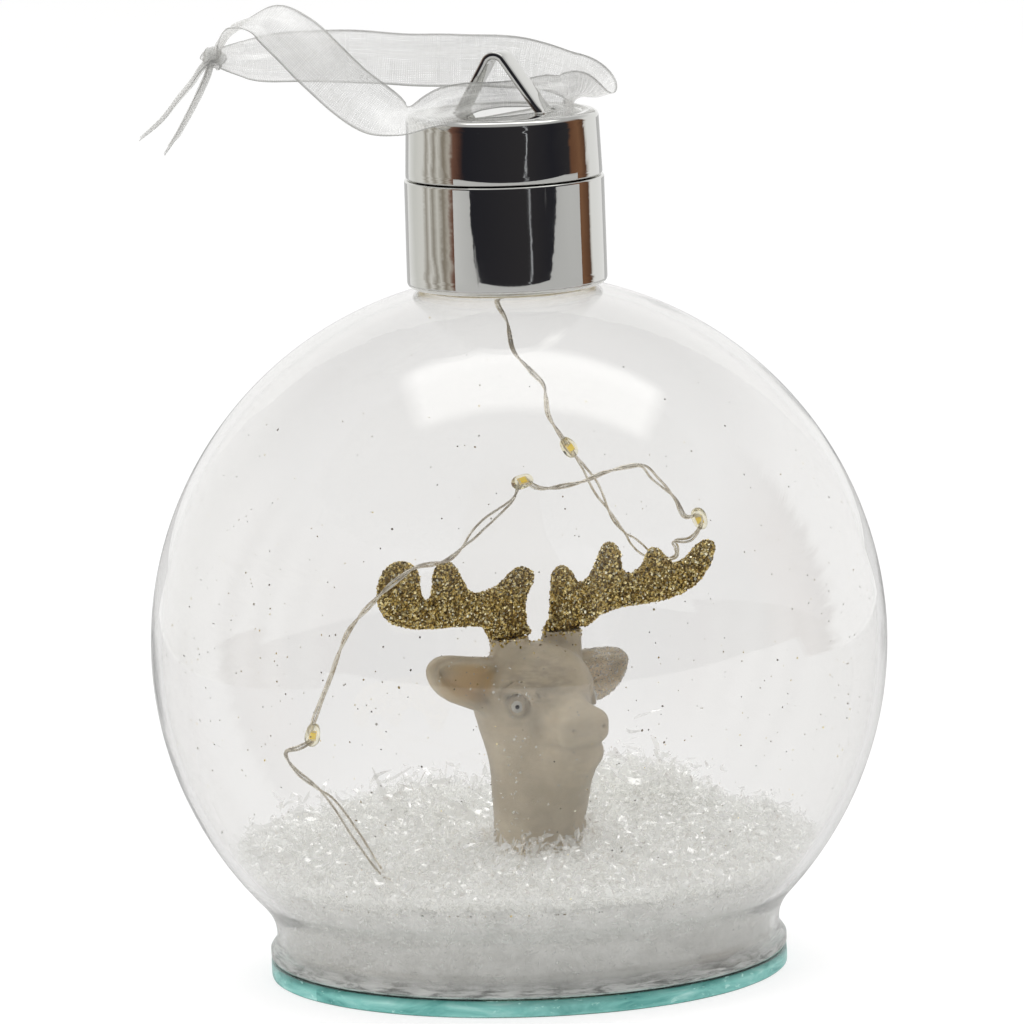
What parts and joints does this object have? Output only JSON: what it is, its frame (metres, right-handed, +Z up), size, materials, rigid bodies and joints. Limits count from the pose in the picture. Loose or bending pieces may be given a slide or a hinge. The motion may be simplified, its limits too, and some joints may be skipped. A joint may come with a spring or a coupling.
{
  "type": "snow globe",
  "caption": "Light-up glass snow globe on a flat glass disc: reindeer head in loose flakes, micro light wire inside, twist-on chrome battery cap with a hanging loop and a sheer ribbon.",
  "frame": {"origin": "centre of the glass base disc's underside", "axes": "+Z up through the cap and the hanging loop; the reindeer looks along -Y; +X is the reindeer's left"},
  "size_m": [0.12, 0.12, 0.1589],
  "materials": {
    "clear_glass": "clear, polished",
    "float_glass": "aqua tinted edge",
    "glue_film": "clear adhesive",
    "cast_resin": "matte, fine grain",
    "gold_glitter": "coarse glitter",
    "flakes": "translucent flakes",
    "chrome_plate": "bright plated plastic",
    "glue_bead": "cured adhesive",
    "dark_rubber": "matt",
    "board": "solder mask",
    "component": "matt",
    "white_plastic": "moulded",
    "contact_brass": "bright",
    "cell_steel": "bright",
    "organza": "sheer woven",
    "wire_metal": "enamelled twin wire",
    "clear_epoxy": "clear drop with a yellow chip"
  },
  "bodies": {
    "globe": {"base_disc": "float_glass", "base_glue_ring": "glue_film", "glass_globe": "clear_glass", "figure_glue_pad": "glue_bead", "reindeer_head": "cast_resin", "antler_left": "gold_glitter", "antler_right": "gold_glitter", "snow_bed": "flakes", "cap_glue_bead": "glue_bead", "neck_gasket": "dark_rubber", "cap_collar": "chrome_plate", "wire_grommet": "dark_rubber", "circuit_board": "board", "series_resistor": "component", "battery_holder": "white_plastic", "cell_contacts": "contact_brass", "button_cell_1": "cell_steel", "button_cell_2": "cell_steel", "button_cell_3": "cell_steel", "light_wire": "wire_metal", "light_drop_1": "clear_epoxy", "light_drop_2": "clear_epoxy", "light_drop_3": "clear_epoxy", "light_drop_4": "clear_epoxy", "light_drop_5": "clear_epoxy"},
    "switch_carrier": {"contact_carrier": "white_plastic", "wiper_contact": "contact_brass"},
    "cover": {"battery_cover": "chrome_plate", "hanging_loop": "chrome_plate", "ribbon": "organza"}
  },
  "joints": [
    {"name": "cap_twist", "type": "hinge", "parent": "globe", "child": "switch_carrier", "pos_m": [0, 0, 0.1308], "axis": [0, 0, 1], "range_deg": [0, 60]},
    {"name": "cap_lift", "type": "slide", "parent": "switch_carrier", "child": "cover", "axis": [0, 0, 1], "range_m": [0, 0.03]}
  ]
}
